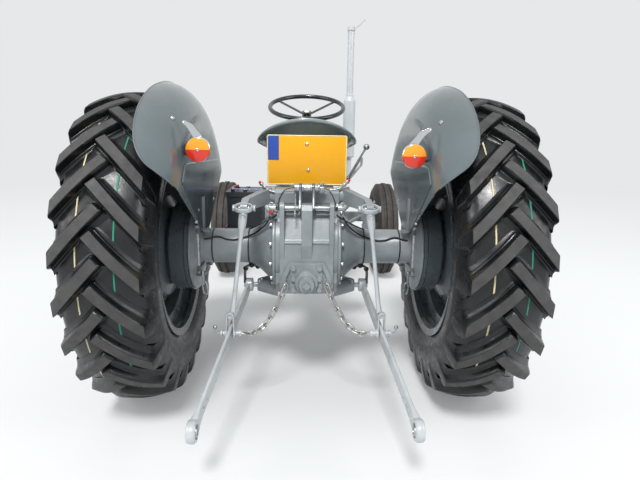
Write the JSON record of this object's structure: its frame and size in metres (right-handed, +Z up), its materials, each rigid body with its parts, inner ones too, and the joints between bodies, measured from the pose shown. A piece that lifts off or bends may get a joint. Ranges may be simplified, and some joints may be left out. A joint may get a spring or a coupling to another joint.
{
  "type": "vintage tractor",
  "caption": "Vintage farm tractor with steering front axle, shell mudguards, tipping bonnet, upright exhaust and a rear three-point lift linkage.",
  "frame": {"origin": "on the ground under the middle of the machine's length and width", "axes": "+Z up, +Y forward, +X to the driver's right"},
  "size_m": [1.636, 2.905, 1.8351],
  "materials": {
    "cast_paint": "satin grey-green enamel on castings",
    "sheet_paint": "gloss grey-green enamel on pressings",
    "dark_paint": "dark slate enamel",
    "steel": "zinc plated and bare steel",
    "silver_paint": "silver paint",
    "tyre": "dusty black tyre rubber",
    "black_plastic": "black moulded plastic",
    "wheel_rim": "black moulded steering wheel rim",
    "plate": "blank yellow plate with a blue edge",
    "lamp": "red and amber lens"
  },
  "bodies": {
    "chassis": {"centre_housing": "cast_paint", "lift_cover": "cast_paint", "axle_tubes": "cast_paint", "gearbox": "cast_paint", "engine": "cast_paint", "radiator": "dark_paint", "front_axle": "cast_paint", "fuel_tank": "sheet_paint", "dash_panel": "sheet_paint", "steering_column": "cast_paint", "exhaust_stack": "silver_paint", "battery": "black_plastic", "seat": "sheet_paint", "mudguard_left": "sheet_paint", "mudguard_right": "sheet_paint", "footrests": "cast_paint", "controls": "steel", "number_plate": "plate", "rear_lamps": "lamp", "radius_rods": "cast_paint", "pto_cap": "cast_paint", "top_link_yoke": "steel", "check_chains": "steel", "axle_wiring": "black_plastic"},
    "bonnet": {"bonnet_shell": "sheet_paint", "grille": "sheet_paint"},
    "lift_arms": {"lift_arms": "cast_paint"},
    "steering_wheel": {"steering_wheel": "wheel_rim"},
    "knuckle_left": {"knuckle_left": "cast_paint"},
    "front_wheel_left": {"front_tyre_left": "tyre", "front_wheel_left": "silver_paint"},
    "rear_wheel_left": {"rear_tyre_left": "tyre", "rear_wheel_left": "silver_paint"},
    "lift_rod_left": {"lift_rod_left": "steel"},
    "lower_link_left": {"lower_link_left": "steel"},
    "drop_arm_left": {"drop_arm_left": "cast_paint"},
    "drag_link_left": {"drag_link_left": "steel"},
    "knuckle_right": {"knuckle_right": "cast_paint"},
    "front_wheel_right": {"front_tyre_right": "tyre", "front_wheel_right": "silver_paint"},
    "rear_wheel_right": {"rear_tyre_right": "tyre", "rear_wheel_right": "silver_paint"},
    "lift_rod_right": {"lift_rod_right": "steel"},
    "lower_link_right": {"lower_link_right": "steel"},
    "drop_arm_right": {"drop_arm_right": "cast_paint"},
    "drag_link_right": {"drag_link_right": "steel"}
  },
  "joints": [
    {"name": "rear_wheel_left_spin", "type": "hinge", "parent": "chassis", "child": "rear_wheel_left", "pos_m": [-0.661, -0.68546, 0.625], "axis": [1, 0, 0], "continuous": true},
    {"name": "kingpin_left", "type": "hinge", "parent": "chassis", "child": "knuckle_left", "pos_m": [-0.4895, 1.09254, 0.456], "axis": [0, 0, 1], "range_deg": [-32, 32]},
    {"name": "front_wheel_left_spin", "type": "hinge", "parent": "knuckle_left", "child": "front_wheel_left", "pos_m": [-0.6095, 1.09254, 0.36], "axis": [1, 0, 0], "continuous": true},
    {"name": "rear_wheel_right_spin", "type": "hinge", "parent": "chassis", "child": "rear_wheel_right", "pos_m": [0.661, -0.68546, 0.625], "axis": [1, 0, 0], "continuous": true},
    {"name": "kingpin_right", "type": "hinge", "parent": "chassis", "child": "knuckle_right", "pos_m": [0.4895, 1.09254, 0.456], "axis": [0, 0, 1], "range_deg": [-32, 32]},
    {"name": "front_wheel_right_spin", "type": "hinge", "parent": "knuckle_right", "child": "front_wheel_right", "pos_m": [0.6095, 1.09254, 0.36], "axis": [1, 0, 0], "continuous": true},
    {"name": "steering_wheel_turn", "type": "hinge", "parent": "chassis", "child": "steering_wheel", "pos_m": [0, 0.09454, 1.24], "axis": [0, -0.342, 0.9397], "range_deg": [-416, 416]},
    {"name": "drop_arm_left", "type": "hinge", "parent": "chassis", "child": "drop_arm_left", "pos_m": [-0.15, 0.19454, 0.8], "axis": [1, 0, 0], "range_deg": [-16, 16]},
    {"name": "drag_link_left", "type": "hinge", "parent": "drop_arm_left", "child": "drag_link_left", "pos_m": [-0.174, 0.19454, 0.585], "axis": [1, 0, 0], "range_deg": [-16, 16]},
    {"name": "drop_arm_right", "type": "hinge", "parent": "chassis", "child": "drop_arm_right", "pos_m": [0.15, 0.19454, 0.8], "axis": [1, 0, 0], "range_deg": [-16, 16]},
    {"name": "drag_link_right", "type": "hinge", "parent": "drop_arm_right", "child": "drag_link_right", "pos_m": [0.174, 0.19454, 0.585], "axis": [1, 0, 0], "range_deg": [-16, 16]},
    {"name": "lift", "type": "hinge", "parent": "chassis", "child": "lift_arms", "pos_m": [0, -0.69546, 0.845], "axis": [-1, 0, 0], "range_deg": [0, 55], "deforming": ["check_chains"]},
    {"name": "lower_link_left", "type": "hinge", "parent": "chassis", "child": "lower_link_left", "pos_m": [-0.25, -0.65546, 0.44], "axis": [-1, 0, 0], "range_deg": [0, 35.66]},
    {"name": "lift_rod_left", "type": "hinge", "parent": "lift_arms", "child": "lift_rod_left", "pos_m": [-0.237, -0.91524, 0.8219], "axis": [-1, 0, 0], "range_deg": [-46.44, 0]},
    {"name": "lower_link_right", "type": "hinge", "parent": "chassis", "child": "lower_link_right", "pos_m": [0.25, -0.65546, 0.44], "axis": [-1, 0, 0], "range_deg": [0, 35.66]},
    {"name": "lift_rod_right", "type": "hinge", "parent": "lift_arms", "child": "lift_rod_right", "pos_m": [0.237, -0.91524, 0.8219], "axis": [-1, 0, 0], "range_deg": [-46.44, 0]},
    {"name": "bonnet_tilt", "type": "hinge", "parent": "chassis", "child": "bonnet", "pos_m": [0, 1.19454, 0.64], "axis": [-1, 0, 0], "range_deg": [0, 65]}
  ],
  "couplings": [
    {"joint": "kingpin_right", "follows": "kingpin_left", "ratio": 1},
    {"joint": "steering_wheel_turn", "follows": "kingpin_left", "ratio": 13},
    {"joint": "drop_arm_left", "follows": "kingpin_left", "ratio": 0.491},
    {"joint": "drag_link_left", "follows": "kingpin_left", "ratio": -0.491},
    {"joint": "drop_arm_right", "follows": "kingpin_left", "ratio": -0.491},
    {"joint": "drag_link_right", "follows": "kingpin_left", "ratio": 0.491},
    {"joint": "lower_link_left", "follows": "lift", "ratio": 0.6481},
    {"joint": "lift_rod_left", "follows": "lift", "ratio": -0.84413},
    {"joint": "lower_link_right", "follows": "lift", "ratio": 0.6481},
    {"joint": "lift_rod_right", "follows": "lift", "ratio": -0.84413}
  ]
}
